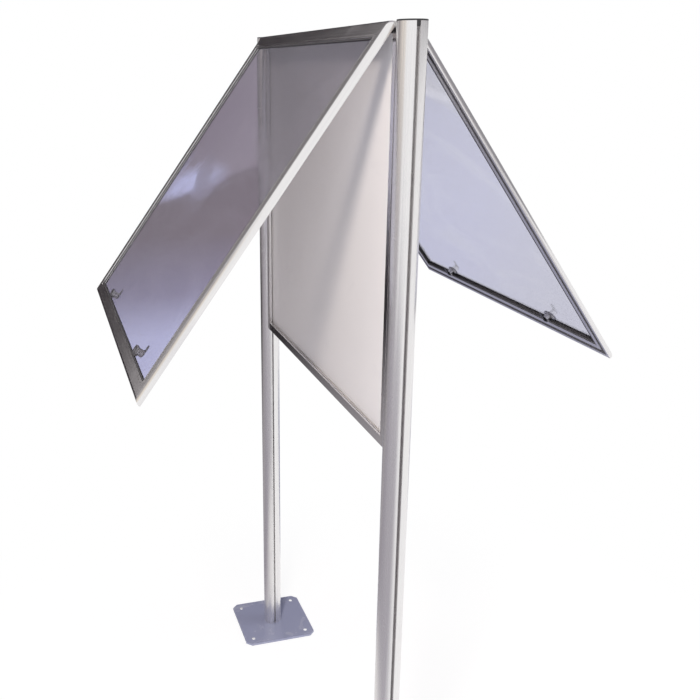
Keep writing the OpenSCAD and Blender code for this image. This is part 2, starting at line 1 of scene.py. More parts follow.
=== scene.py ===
# %% [markdown]
# # A lockable notice board, dressed in Blender
#
# The solids of the board come from its CAD model: posts, frame, doors, locks and screws.
# In this lesson they get what a drawing leaves out: edges that aren't knife-sharp, aluminium with
# drawn lines, coated steel, rubber and tinted panes, and then the light and the camera of the photo.
# Everything stays in metres, in the frame of the solids: X along the board, Z up.

# %% Load the solids
import json
import math

import bmesh
import bpy
from mathutils import Euler, Matrix, Vector

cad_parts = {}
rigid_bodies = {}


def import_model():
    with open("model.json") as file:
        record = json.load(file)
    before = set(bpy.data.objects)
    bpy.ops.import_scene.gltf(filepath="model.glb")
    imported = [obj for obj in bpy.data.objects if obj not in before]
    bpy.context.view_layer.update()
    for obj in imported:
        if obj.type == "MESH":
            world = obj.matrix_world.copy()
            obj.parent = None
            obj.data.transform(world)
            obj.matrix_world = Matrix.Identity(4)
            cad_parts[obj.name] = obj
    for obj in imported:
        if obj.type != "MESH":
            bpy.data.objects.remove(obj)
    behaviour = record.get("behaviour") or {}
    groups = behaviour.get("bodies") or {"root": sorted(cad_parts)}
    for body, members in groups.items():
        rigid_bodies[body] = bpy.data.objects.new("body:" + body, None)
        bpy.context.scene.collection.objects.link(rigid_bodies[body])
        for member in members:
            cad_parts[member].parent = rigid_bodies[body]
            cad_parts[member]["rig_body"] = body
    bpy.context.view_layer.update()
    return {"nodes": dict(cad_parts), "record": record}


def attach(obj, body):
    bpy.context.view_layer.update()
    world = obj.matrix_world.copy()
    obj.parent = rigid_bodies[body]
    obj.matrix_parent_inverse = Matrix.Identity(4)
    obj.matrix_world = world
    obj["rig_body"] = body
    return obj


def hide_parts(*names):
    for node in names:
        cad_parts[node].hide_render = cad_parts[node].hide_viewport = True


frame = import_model()
nodes = frame["nodes"]
body_of_node = {node: o["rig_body"] for node, o in nodes.items()}

# %% [markdown]
# ## Camera
#
# A photo can be matched only from the place where it was taken.
# That place was found by laying the posts, the base plate and the doors over the photo until their
# outlines agreed. It is just beyond the right-hand end of the board, a little in front of it,
# at eye height, looking down a little.
# The focal length is known in pixels, so it is turned into the lens that a 36 mm sensor needs.
# The photo was cropped: its optical centre lies left of the middle, and the camera's shift says so.

# %% The camera of the photo
IMAGE_SIDE_PX = 700
FOCAL_LENGTH_PX = 886.1
OPTICAL_CENTRE_PX = (284.0, 354.8)
SENSOR_WIDTH_MM = 36
CAMERA_PLACE = Vector((2.1827, -0.7190, 1.9451))
CAMERA_YAW = math.radians(15.754)
CAMERA_PITCH = math.radians(17.985)
CAMERA_ROLL = math.radians(-0.233)


def camera_turn(yaw, pitch, roll):
    """The camera's rotation: it looks along -X, turned by yaw towards +Y and down by pitch."""
    ahead = Vector((-math.cos(yaw) * math.cos(pitch), math.sin(yaw) * math.cos(pitch), -math.sin(pitch)))
    level = ahead.cross(Vector((0, 0, 1))).normalized()
    above = level.cross(ahead)
    right = math.cos(roll) * level + math.sin(roll) * above
    up = math.cos(roll) * above - math.sin(roll) * level
    return Matrix((right, up, -ahead)).transposed().to_4x4()


camera_data = bpy.data.cameras.new("camera")
camera_data.sensor_width = SENSOR_WIDTH_MM
camera_data.lens = FOCAL_LENGTH_PX / IMAGE_SIDE_PX * SENSOR_WIDTH_MM
camera_data.shift_x = 0.5 - OPTICAL_CENTRE_PX[0] / IMAGE_SIDE_PX
camera_data.shift_y = OPTICAL_CENTRE_PX[1] / IMAGE_SIDE_PX - 0.5
camera = bpy.data.objects.new("camera", camera_data)
camera.matrix_world = Matrix.Translation(CAMERA_PLACE) @ camera_turn(CAMERA_YAW, CAMERA_PITCH, CAMERA_ROLL)
bpy.context.scene.collection.objects.link(camera)
bpy.context.scene.camera = camera
print("lens:", round(camera_data.lens, 2), "mm")

# %% [markdown]
# ## Small tools for materials
#
# A material is a small network. Written out node by node it gets long, so helpers keep it short:
# one adds a node and fills its sockets, with a value or with a link, and the others do sums, blend
# two colours, and turn a range of numbers into another.
# Patterns that several materials share are node groups: built once, and placed in each material
# with values of its own. A group gives out masks and heights only. The shader stays in the material.


# %% Nodes, sums and groups
def add_node(tree, kind, sockets=None, **settings):
    """Adds a node. sockets maps an input's name or number to a value, or to a socket to link."""
    node = tree.nodes.new(kind)
    for name, value in settings.items():
        setattr(node, name, value)
    for key, value in (sockets or {}).items():
        if isinstance(value, bpy.types.NodeSocket):
            tree.links.new(value, node.inputs[key])
        else:
            node.inputs[key].default_value = value
    return node


def add_sum(tree, operation, first, second):
    """One Math node's result."""
    return add_node(tree, "ShaderNodeMath", {0: first, 1: second}, operation=operation).outputs[0]


def weighted_sum(tree, first, second, first_weight, second_weight):
    """Two values, each multiplied by its weight, added up."""
    return add_sum(tree, "ADD", add_sum(tree, "MULTIPLY", first, first_weight),
                   add_sum(tree, "MULTIPLY", second, second_weight))


def blend_colours(tree, mask, first, second):
    """The first colour where the mask is 0, the second where it is 1."""
    mix = add_node(tree, "ShaderNodeMix", {0: mask, 6: first, 7: second}, data_type="RGBA")
    return mix.outputs[2]


def between(tree, mask, low, high, from_low=0.0, from_high=1.0):
    """Maps a mask's range to another range of numbers."""
    return add_node(tree, "ShaderNodeMapRange", {
        "Value": mask, "From Min": from_low, "From Max": from_high, "To Min": low, "To Max": high,
    }).outputs[0]


def ramp(tree, value, start, end):
    """A mask that is 0 up to the start, 1 from the end on, and rises evenly between them."""
    return between(tree, value, 0.0, 1.0, start, end)


def distance_from_zero(tree, x, y):
    """How far the place (x, y) is from (0, 0)."""
    flat = add_node(tree, "ShaderNodeCombineXYZ", {0: x, 1: y}).outputs[0]
    return add_node(tree, "ShaderNodeVectorMath", {0: flat}, operation="LENGTH").outputs[1]


def new_group(name, inputs, outputs):
    """An empty node group: inputs are (name, kind, default), outputs are (name, kind)."""
    tree = bpy.data.node_groups.new(name, "ShaderNodeTree")
    for label, kind, default in inputs:
        socket = tree.interface.new_socket(name=label, in_out="INPUT", socket_type=kind)
        if default is not None:
            socket.default_value = default
    for label, kind in outputs:
        tree.interface.new_socket(name=label, in_out="OUTPUT", socket_type=kind)
    return tree, tree.nodes.new("NodeGroupInput"), tree.nodes.new("NodeGroupOutput")


def place_group(tree, group, sockets):
    """Places a group in a material, fills its inputs and gives its result."""
    return add_node(tree, "ShaderNodeGroup", sockets, node_tree=group).outputs[0]


VECTOR, NUMBER = "NodeSocketVector", "NodeSocketFloat"

# %% [markdown]
# ## Patterns that materials share
#
# *Drawn lines* are what a die leaves along an aluminium extrusion, and what rolling leaves on a
# sheet. Stretched noise makes them: a few changes per metre along the bar, hundreds across it.
#
# *Handling marks* are the patches that fingers, cloths and rain leave. They change the gloss more
# than the colour.
#
# *Fine grain* is the small relief of a powder coat, moulded plastic or rubber.


# %% Drawn lines
def build_drawn_lines():
    """Noise with Lines changes per metre across the bar, and Run changes per metre along it."""
    tree, source, result = new_group(
        "drawn lines",
        [("Vector", VECTOR, None), ("Lines", NUMBER, 700.0), ("Run", NUMBER, 3.0)],
        [("Mask", NUMBER)])
    stretch = add_node(tree, "ShaderNodeCombineXYZ", {
        0: source.outputs["Run"], 1: source.outputs["Lines"], 2: source.outputs["Lines"]})
    place = add_node(tree, "ShaderNodeVectorMath", {
        0: source.outputs["Vector"], 1: stretch.outputs[0]}, operation="MULTIPLY")
    noise = add_node(tree, "ShaderNodeTexNoise", {
        "Vector": place.outputs[0], "Scale": 1.0, "Detail": 3.0, "Roughness": 0.6})
    tree.links.new(ramp(tree, noise.outputs[0], 0.3, 0.7), result.inputs["Mask"])
    return tree


DRAWN_LINES = build_drawn_lines()
print("group:", DRAWN_LINES.name)


# %% Handling marks
CLEAN_LEVEL, LEVEL_DROP, EDGE_WIDTH = 0.75, 0.35, 0.22


def build_handling_marks():
    """The more the Amount, the lower the level of noise at which a patch begins."""
    tree, source, result = new_group(
        "handling marks",
        [("Vector", VECTOR, None), ("Scale", NUMBER, 6.0), ("Amount", NUMBER, 0.5)],
        [("Mask", NUMBER)])
    patches = add_node(tree, "ShaderNodeTexNoise", {
        "Vector": source.outputs["Vector"], "Scale": source.outputs["Scale"],
        "Detail": 5.0, "Roughness": 0.62, "Distortion": 0.8})
    drop = add_sum(tree, "MULTIPLY", source.outputs["Amount"], LEVEL_DROP)
    low = add_sum(tree, "SUBTRACT", CLEAN_LEVEL, drop)
    high = add_sum(tree, "ADD", low, EDGE_WIDTH)
    mask = add_node(tree, "ShaderNodeMapRange", {
        "Value": patches.outputs[0], "From Min": low, "From Max": high},
        interpolation_type="SMOOTHSTEP")
    tree.links.new(mask.outputs[0], result.inputs["Mask"])
    return tree


HANDLING_MARKS = build_handling_marks()
print("group:", HANDLING_MARKS.name)


# %% Fine grain
def build_fine_grain():
    """Rounded cells with a little noise on them. Grains is their number per metre."""
    tree, source, result = new_group(
        "fine grain",
        [("Vector", VECTOR, None), ("Grains", NUMBER, 900.0)],
        [("Height", NUMBER)])
    cells = add_node(tree, "ShaderNodeTexVoronoi", {
        "Vector": source.outputs["Vector"], "Scale": source.outputs["Grains"], "Smoothness": 0.6},
        feature="SMOOTH_F1")
    drift = add_node(tree, "ShaderNodeTexNoise", {
        "Vector": source.outputs["Vector"], "Scale": source.outputs["Grains"], "Detail": 2.0})
    tree.links.new(add_sum(tree, "ADD", cells.outputs["Distance"], drift.outputs[0]),
                   result.inputs["Height"])
    return tree


FINE_GRAIN = build_fine_grain()
print("group:", FINE_GRAIN.name)

# %% [markdown]
# ## Materials
#
# Each finish is one function. It reads Object coordinates, so a pattern keeps its real scale on
# every piece. Numbers that are the same everywhere, such as Metallic 1 on bare aluminium, are set on
# the shader's own socket.


# %% A new material
def new_material(name, **sockets):
    """A material with a Principled shader, its tree and its Object coordinates."""
    material = bpy.data.materials.new(name)
    material.use_nodes = True
    tree = material.node_tree
    shader = next(n for n in tree.nodes if n.type == "BSDF_PRINCIPLED")
    for label, value in sockets.items():
        shader.inputs[label.replace("_", " ")].default_value = value
    place = tree.nodes.new("ShaderNodeTexCoord").outputs["Object"]
    return material, tree, shader, place


def add_bump(tree, shader, height, *, strength, distance):
    """Feeds a height to the shader's Normal. distance is the relief's depth in metres."""
    bump = add_node(tree, "ShaderNodeBump", {
        "Height": height, "Strength": strength, "Distance": distance})
    tree.links.new(bump.outputs[0], shader.inputs["Normal"])


# %% [markdown]
# ### Anodised aluminium
#
# Posts, frame and doors are extrusions with a satin anodised skin. The lines of the die run along
# the bar, so each direction of bar has its own material: the coordinates are turned until the bar
# lies along X. The doors stand open, and the lines on their stiles slope as much. How far they are
# open is the lower limit of their hinge, where they would be closed.
# The rails are glossier than the posts: in the photo they mirror the room more sharply.

# %% Anodised aluminium
ANODISED_TONE, ANODISED_DULLING = (0.55, 0.3), (0.06, 0.06)
joints = {joint["name"]: joint for joint in frame["record"]["behaviour"]["joints"]}
OPEN_ANGLE = -math.radians(joints["front_door_hinge"]["range_deg"][0])
ALONG_X = Euler((0, 0, 0))
ALONG_Z = Euler((0, math.radians(90), 0))


def stile_turn(side):
    """Turns a sloping stile's coordinates upright, and then along X. side is -1 at the front."""
    upright = Matrix.Rotation(-side * OPEN_ANGLE, 3, "X")
    return (ALONG_Z.to_matrix() @ upright).to_euler()


def anodised(name, turn, light, dark, gloss):
    """Satin aluminium with drawn lines. gloss is its least roughness."""
    material, tree, shader, place = new_material(name, Metallic=1.0)
    along = add_node(tree, "ShaderNodeMapping", {"Vector": place, "Rotation": turn}).outputs[0]
    lines = place_group(tree, DRAWN_LINES, {"Vector": along, "Lines": 620.0, "Run": 2.5})
    marks = place_group(tree, HANDLING_MARKS, {"Vector": along, "Scale": 5.0, "Amount": 0.6})
    tone = weighted_sum(tree, lines, marks, *ANODISED_TONE)
    tree.links.new(blend_colours(tree, tone, light, dark), shader.inputs["Base Color"])
    rough = weighted_sum(tree, lines, marks, *ANODISED_DULLING)
    tree.links.new(add_sum(tree, "ADD", rough, gloss), shader.inputs["Roughness"])
    add_bump(tree, shader, lines, strength=0.08, distance=0.00003)
    return material


ALUMINIUM = ((0.86, 0.845, 0.84, 1), (0.74, 0.725, 0.74, 1))
CAST_ALUMINIUM = ((0.62, 0.62, 0.63, 1), (0.45, 0.45, 0.46, 1))
POST_GLOSS, RAIL_GLOSS, CLEAT_GLOSS = 0.24, 0.16, 0.4
SIDE_OF_DOOR = {"front": -1, "rear": 1}

post_metal = anodised("post aluminium", ALONG_Z, *ALUMINIUM, POST_GLOSS)
rail_metal = anodised("rail aluminium", ALONG_X, *ALUMINIUM, RAIL_GLOSS)
upright_metal = anodised("frame stile aluminium", ALONG_Z, *ALUMINIUM, RAIL_GLOSS)
stile_metal = {
    name: anodised(f"{name} door stile aluminium", stile_turn(side), *ALUMINIUM, RAIL_GLOSS)
    for name, side in SIDE_OF_DOOR.items()}
cleat_metal = anodised("cleat aluminium", ALONG_X, *CAST_ALUMINIUM, CLEAT_GLOSS)
print("aluminium:", 4 + len(stile_metal), "materials")

# %% [markdown]
# ### Coatings
#
# The base plates have a blue-grey powder coat. Its relief is the orange peel that shows when light
# slides over it, and its gloss is duller where shoes and rain have been. The walls of the bolt holes
# are bare metal. The places of the holes come from the part's record, which lists them as mounts.
# The panel's sheets have a smooth white coat with a faint waviness, because the sheet is thin.


# %% Powder coat
MM = 0.001
ground_bolts = next(m for m in frame["record"]["mounts"] if m["name"] == "right_ground_bolts")
POST_PLACE = ground_bolts["pos_m"][0]
BOLT_PLACE = ground_bolts["dims"]["spacing_x_mm"] * MM / 2
BARE_MARGIN = 0.3 * MM
BARE_RADIUS = ground_bolts["dims"]["hole_r_mm"] * MM + BARE_MARGIN
BARE_METAL = (0.92, 0.92, 0.93, 1)
WORN_SHARE, PAINT_ROUGHNESS = 0.7, (0.2, 0.42)


def bolt_hole_mask(tree, place):
    """1 on the walls of the bolt holes. Folding the place twice lays all eight holes on one."""
    def fold(value, middle):
        one_side = add_node(tree, "ShaderNodeMath", {0: value}, operation="ABSOLUTE").outputs[0]
        return add_sum(tree, "SUBTRACT", one_side, middle)

    axes = add_node(tree, "ShaderNodeSeparateXYZ", {0: place}).outputs
    x, y = fold(fold(axes["X"], POST_PLACE), BOLT_PLACE), fold(axes["Y"], BOLT_PLACE)
    return add_sum(tree, "LESS_THAN", distance_from_zero(tree, x, y), BARE_RADIUS)


def powder_coat(name, colour, worn):
    """Glossy paint with dull patches, and bare bright metal where the bolt holes were drilled."""
    material, tree, shader, place = new_material(name, Specular_IOR_Level=0.5)
    grain = place_group(tree, FINE_GRAIN, {"Vector": place, "Grains": 520.0})
    marks = place_group(tree, HANDLING_MARKS, {"Vector": place, "Scale": 14.0, "Amount": 0.7})
    paint = blend_colours(tree, add_sum(tree, "MULTIPLY", marks, WORN_SHARE), colour, worn)
    drilled = bolt_hole_mask(tree, place)
    tree.links.new(blend_colours(tree, drilled, paint, BARE_METAL), shader.inputs["Base Color"])
    tree.links.new(drilled, shader.inputs["Metallic"])
    tree.links.new(between(tree, marks, *PAINT_ROUGHNESS), shader.inputs["Roughness"])
    add_bump(tree, shader, grain, strength=0.25, distance=0.00015)
    return material


plate_paint = powder_coat("plate paint", colour=(0.38, 0.41, 0.58, 1), worn=(0.46, 0.48, 0.60, 1))


# %% White coated sheet
SHEET_TONE, SHEET_ROUGHNESS = (0.4, 0.35), (0.34, 0.5)


def coated_sheet(name, colour, shade):
    """A smooth coat on a slightly wavy sheet. It turns to shade in the waves and where it was handled."""
    material, tree, shader, place = new_material(name, Specular_IOR_Level=0.45)
    waves = add_node(tree, "ShaderNodeTexNoise", {
        "Vector": place, "Scale": 3.0, "Detail": 2.0, "Roughness": 0.4}).outputs[0]
    marks = place_group(tree, HANDLING_MARKS, {"Vector": place, "Scale": 7.0, "Amount": 0.5})
    tone = weighted_sum(tree, waves, marks, *SHEET_TONE)
    tree.links.new(blend_colours(tree, tone, colour, shade), shader.inputs["Base Color"])
    tree.links.new(between(tree, marks, *SHEET_ROUGHNESS), shader.inputs["Roughness"])
    add_bump(tree, shader, waves, strength=0.3, distance=0.002)
    return material


panel_white = coated_sheet("panel white", colour=(0.86, 0.845, 0.85, 1), shade=(0.78, 0.765, 0.785, 1))
print("coatings:", plate_paint.name, panel_white.name)

# %% [markdown]
# ### Plastic, rubber, board and steel
#
# These are small on the object, but each shows from close by: moulded black plastic on the post caps
# and brackets, soft black rubber round the panes, pressed board at the panel's edge, and three kinds
# of metal in the locks and screws.


# %% Moulded plastic and rubber
TOUCHED_DULLING = 0.15


def grained(name, light, dark, grains, rough, depth):
    """A dull material with a fine relief. grains is their number per metre, depth is in metres."""
    material, tree, shader, place = new_material(name)
    grain = place_group(tree, FINE_GRAIN, {"Vector": place, "Grains": grains})
    marks = place_group(tree, HANDLING_MARKS, {"Vector": place, "Scale": 25.0, "Amount": 0.6})
    tree.links.new(blend_colours(tree, marks, dark, light), shader.inputs["Base Color"])
    tree.links.new(between(tree, marks, rough, rough + TOUCHED_DULLING), shader.inputs["Roughness"])
    add_bump(tree, shader, grain, strength=0.3, distance=depth)
    return material


black_plastic = grained(
    "black plastic", light=(0.035, 0.034, 0.037, 1), dark=(0.018, 0.018, 0.02, 1),
    grains=1500.0, rough=0.42, depth=0.0001)
gasket_rubber = grained(
    "gasket rubber", light=(0.10, 0.098, 0.108, 1), dark=(0.06, 0.058, 0.065, 1),
    grains=2200.0, rough=0.6, depth=0.00006)
core_board = grained(
    "core board", light=(0.55, 0.47, 0.36, 1), dark=(0.42, 0.35, 0.26, 1),
    grains=1100.0, rough=0.8, depth=0.0003)


# %% Plated and turned metal
TURNED_DULLING = (0.12, 0.1)


def turned_metal(name, light, dark, gloss):
    """Smooth metal with the fine lines of a tool. gloss is its least roughness."""
    material, tree, shader, place = new_material(name, Metallic=1.0)
    lines = place_group(tree, DRAWN_LINES, {"Vector": place, "Lines": 2600.0, "Run": 400.0})
    marks = place_group(tree, HANDLING_MARKS, {"Vector": place, "Scale": 60.0, "Amount": 0.7})
    tree.links.new(blend_colours(tree, marks, light, dark), shader.inputs["Base Color"])
    rough = weighted_sum(tree, lines, marks, *TURNED_DULLING)
    tree.links.new(add_sum(tree, "ADD", rough, gloss), shader.inputs["Roughness"])
    add_bump(tree, shader, lines, strength=0.15, distance=0.00002)
    return material


lock_metal = turned_metal(
    "lock plating", light=(0.46, 0.45, 0.48, 1), dark=(0.28, 0.27, 0.29, 1), gloss=0.14)
screw_steel = turned_metal(
    "screw steel", light=(0.6, 0.6, 0.61, 1), dark=(0.42, 0.41, 0.42, 1), gloss=0.24)
dark_steel = turned_metal(
    "dark steel", light=(0.045, 0.043, 0.048, 1), dark=(0.022, 0.021, 0.024, 1), gloss=0.22)
for finish in (black_plastic, gasket_rubber, core_board, lock_metal, screw_steel, dark_steel):
    print("small finish:", finish.name)

# %% [markdown]
# ### Tinted panes
#
# A pane is a smooth clear sheet, so nearly all that shows of it is what is behind it and what it mirrors.
# In the photo the panes have a lavender grey tint, the front one more grey and the rear one more blue,
# with faint wipe marks that scatter a little light. The front pane's tint is also darker than the rear
# one's as painted shade: it darkens the panel seen through it as if shade fell there.
# A shadow ray meets less of a pane than an eye does: most of the light goes through, so the board
# behind a pane isn't in the dark.

# %% Tinted pane
# The front tint is darker than the rear one as painted shade: the panel seen through the front pane looks
# shaded.
PANE_TINTS_AND_SHADE = {
    "front": ((0.58, 0.56, 0.62, 1), (0.62, 0.60, 0.66, 1)),
    "rear": ((0.615, 0.615, 0.71, 1), (0.66, 0.66, 0.74, 1)),
}
PANE_SHADE = 0.28
PANE_ROUGHNESS = (0.02, 0.08)


def tinted_pane(name, clear, wiped):
    """A clear sheet that casts a weak shadow. wiped is its tint where the wipe marks are."""
    material, tree, shader, place = new_material(name, Transmission_Weight=1.0, IOR=1.5)
    is_shadow = tree.nodes.new("ShaderNodeLightPath").outputs["Is Shadow Ray"]
    tree.links.new(between(tree, is_shadow, 1.0, PANE_SHADE), shader.inputs["Alpha"])
    wipes = add_node(tree, "ShaderNodeMapping", {
        "Vector": place, "Rotation": (0.3, 0.5, 0.2), "Scale": (1.2, 3.0, 2.2)}).outputs[0]
    marks = place_group(tree, HANDLING_MARKS, {"Vector": wipes, "Scale": 2.2, "Amount": 0.9})
    tree.links.new(blend_colours(tree, marks, clear, wiped), shader.inputs["Base Color"])
    tree.links.new(between(tree, marks, *PANE_ROUGHNESS), shader.inputs["Roughness"])
    return material


pane_glass = {name: tinted_pane(f"{name} tinted pane", *tints) for name, tints in PANE_TINTS_AND_SHADE.items()}
print("panes:", len(pane_glass))

# %% [markdown]
# ## Pieces
#
# A solid from CAD has perfectly sharp edges, and no real piece does. Light catches a real edge as a
# thin bright line, which is much of what makes metal look like metal.
# So each solid is copied, its triangles are merged into clean faces, and its sharp edges are
# bevelled by a width that suits how the piece is made: a sheared plate is rounder than a saw cut.
# The copy then stands for the solid.
#
# A bevelled piece is shaded smooth, and that alone would bend the light on its flat faces too.
# A Weighted Normal modifier lets the large faces set the normals, so that only the bevels turn.

# %% Merge, bevel and place a piece
MERGE_DISTANCE = 0.000002
FLAT_ANGLE = math.radians(0.5)
SHARP_ANGLE = math.radians(28)
SMOOTH_ANGLE = math.radians(30)


def merged_copy(node):
    """A bmesh of a node's solid, with its loose triangles joined and flat areas made one face."""
    shape = bmesh.new()
    shape.from_mesh(nodes[node].data)
    bmesh.ops.remove_doubles(shape, verts=shape.verts, dist=MERGE_DISTANCE)
    bmesh.ops.dissolve_limit(shape, angle_limit=FLAT_ANGLE, verts=shape.verts, edges=shape.edges)
    return shape


def bevel_sharp_edges(shape, width, segments):
    """Rounds the edges at which two faces meet at more than the sharp angle."""
    sharp = [e for e in shape.edges if e.is_manifold and e.calc_face_angle() > SHARP_ANGLE]
    bmesh.ops.bevel(shape, geom=sharp, offset=width, offset_type="OFFSET", affect="EDGES",
                    segments=segments, profile=0.5, material=-1, clamp_overlap=True)


def place_piece(shape, name, node, material):
    """Makes the object, which rides on the node's body and stands for the node."""
    mesh = bpy.data.meshes.new(name)
    shape.to_mesh(mesh)
    shape.free()
    mesh.materials.append(material)
    mesh.shade_smooth()
    mesh.set_sharp_from_angle(angle=SMOOTH_ANGLE)
    piece = bpy.data.objects.new(name, mesh)
    bpy.context.scene.collection.objects.link(piece)
    weighted = piece.modifiers.new("flat faces stay flat", "WEIGHTED_NORMAL")
    weighted.keep_sharp = True
    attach(piece, body_of_node[node])
    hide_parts(node)
    return piece


def finish_node(node, material, width, segments=2):
    """The usual piece: a merged copy of the solid with its edges bevelled."""
    shape = merged_copy(node)
    bevel_sharp_edges(shape, width, segments)
    return place_piece(shape, f"{node}_finished", node, material)


# %% [markdown]
# ### Stand
#
# The tubes are sawn and deburred. The plates are cut from sheet, so their edges are rounder, and the
# caps are moulded with a soft rim.

# %% Posts, caps, plates and their screws
SAW_CUT, SHEARED, MOULDED = 0.0003, 0.0009, 0.0008

for side in ("left", "right"):
    finish_node(f"{side}_post", post_metal, SAW_CUT)
    finish_node(f"{side}_post_cap", black_plastic, MOULDED, 4)
    finish_node(f"{side}_base_plate", plate_paint, SHEARED, 3)
    finish_node(f"{side}_base_screws", screw_steel, SAW_CUT)
print("stand: 2 posts with caps, plates and screws")

# %% [markdown]
# ### Frame and panel
#
# The four bars are mitred. Their bevelled ends leave the hairline that a real mitre shows.

# %% Frame and panel
for part in ("top_rail", "bottom_rail"):
    finish_node(f"frame_{part}", rail_metal, SAW_CUT)
for part in ("left_stile", "right_stile"):
    finish_node(f"frame_{part}", upright_metal, SAW_CUT)
finish_node("frame_corner_cleats", cleat_metal, SAW_CUT)
finish_node("panel_core", core_board, SAW_CUT)
finish_node("front_panel_sheet", panel_white, SAW_CUT)
finish_node("rear_panel_sheet", panel_white, SAW_CUT)
finish_node("panel_edge_gasket", gasket_rubber, SAW_CUT)
finish_node("post_brackets", black_plastic, MOULDED, 2)
finish_node("post_bracket_screws", screw_steel, SAW_CUT)
print("frame: 4 bars, panel of 3 layers, brackets")

# %% [markdown]
# ### Doors
#
# Both doors are alike, so one loop dresses them. Rubber is rounder than metal: the gasket's lip and
# the seal's bulb get a wide bevel of several segments, and turn into half-round beads.

# %% Doors
GASKET_LIP, SEAL_BULB, PANE_EDGE = 0.0004, 0.0006, 0.0003

for name in SIDE_OF_DOOR:
    door = f"{name}_door"
    finish_node(f"{door}_top_rail", rail_metal, SAW_CUT)
    finish_node(f"{door}_bottom_rail", rail_metal, SAW_CUT)
    finish_node(f"{door}_left_stile", stile_metal[name], SAW_CUT)
    finish_node(f"{door}_right_stile", stile_metal[name], SAW_CUT)
    finish_node(f"{door}_corner_cleats", cleat_metal, SAW_CUT)
    finish_node(f"{door}_glazing", pane_glass[name], PANE_EDGE)
    finish_node(f"{door}_outer_gasket", gasket_rubber, GASKET_LIP, 3)
    finish_node(f"{door}_inner_gasket", gasket_rubber, GASKET_LIP, 3)
    finish_node(f"{door}_seal", gasket_rubber, SEAL_BULB, 3)
print("doors: 2, each with 4 bars, a pane and its rubbers")

# %% [markdown]
# ### Locks
#
# The housing and the plates are die cast and plated, the cam is a pressed strip with a dark finish.

# %% Locks
CAST_EDGE, PRESSED_EDGE = 0.0004, 0.0005

for name in SIDE_OF_DOOR:
    finish_node(f"{name}_lock_plates", lock_metal, CAST_EDGE, 3)
    finish_node(f"{name}_lock_plate_screws", screw_steel, SAW_CUT)
    for end in ("left", "right"):
        lock = f"{name}_{end}_lock"
        finish_node(f"{lock}_housing", lock_metal, CAST_EDGE, 3)
        finish_node(f"{lock}_plug", lock_metal, SAW_CUT)
        finish_node(f"{lock}_cam", dark_steel, PRESSED_EDGE, 3)
        finish_node(f"{lock}_cam_screw", dark_steel, SAW_CUT)
print("locks: 4")

# %% [markdown]
# ## Floor and background
#
# The photo has a pure white background. White comes from what the camera sees, and not from more
# light: for camera rays, and for the rays that metal mirrors and panes let through, the world is a
# plain white. The floor is mostly that same white too, with a part of real shading left in it,
# so that the object keeps a soft shadow.

# %% Floor and white background
FLOOR_SIDE = 60.0
FLOOR_COLOUR = (0.82, 0.82, 0.84, 1)
SHADOW_SHARE = 0.25
SHADOW_REACH = (0.5, 1.6)
OPEN_FLOOR_SHADE = 0.56
ROOM_LIGHT = (0.32, 0.302, 0.32, 1)
WHITE = (1.0, 1.0, 1.0, 1)


def seen_rays(tree):
    """1 for camera rays and what they find in a mirror or pane, 0 for light that falls on the object."""
    rays = tree.nodes.new("ShaderNodeLightPath").outputs
    mirrored = add_sum(tree, "MAXIMUM", rays["Is Glossy Ray"], rays["Is Transmission Ray"])
    straight = add_sum(tree, "LESS_THAN", rays["Diffuse Depth"], 0.5)
    return add_sum(tree, "MULTIPLY", add_sum(tree, "MAXIMUM", rays["Is Camera Ray"], mirrored), straight)


def floor_material():
    """White as seen, with real shading mixed in near the object, where its shadow falls.

    The shaded share is greyer than white even without a shadow, so the white share is lifted to match.
    """
    material, tree, shader, place = new_material("floor", Roughness=0.9, Specular_IOR_Level=0.2)
    shader.inputs["Base Color"].default_value = FLOOR_COLOUR
    from_middle = add_node(tree, "ShaderNodeVectorMath", {0: place}, operation="LENGTH").outputs[1]
    shadow = between(tree, from_middle, SHADOW_SHARE, 0.0, *SHADOW_REACH)
    lift = between(tree, shadow, 1.0, (1 - SHADOW_SHARE * OPEN_FLOOR_SHADE) / (1 - SHADOW_SHARE),
                   0.0, SHADOW_SHARE)
    white = add_node(tree, "ShaderNodeEmission", {"Color": WHITE, "Strength": lift})
    share = add_sum(tree, "MULTIPLY", seen_rays(tree), add_sum(tree, "SUBTRACT", 1.0, shadow))
    mix = add_node(tree, "ShaderNodeMixShader", {0: share, 1: shader.outputs[0], 2: white.outputs[0]})
    output = next(n for n in tree.nodes if n.type == "OUTPUT_MATERIAL")
    tree.links.new(mix.outputs[0], output.inputs["Surface"])
    return material


floor_shape = bmesh.new()
bmesh.ops.create_grid(floor_shape, x_segments=1, y_segments=1, size=FLOOR_SIDE / 2)
floor_mesh = bpy.data.meshes.new("floor")
floor_shape.to_mesh(floor_mesh)
floor_shape.free()
floor_mesh.materials.append(floor_material())
floor = bpy.data.objects.new("floor", floor_mesh)
bpy.context.scene.collection.objects.link(floor)

world = bpy.data.worlds.new("studio")
world.use_nodes = True
bpy.context.scene.world = world
world_tree = world.node_tree
background = next(n for n in world_tree.nodes if n.type == "BACKGROUND")
world_tree.links.new(blend_colours(world_tree, seen_rays(world_tree), ROOM_LIGHT, WHITE),
                     background.inputs["Color"])
print("floor side:", FLOOR_SIDE, "m")
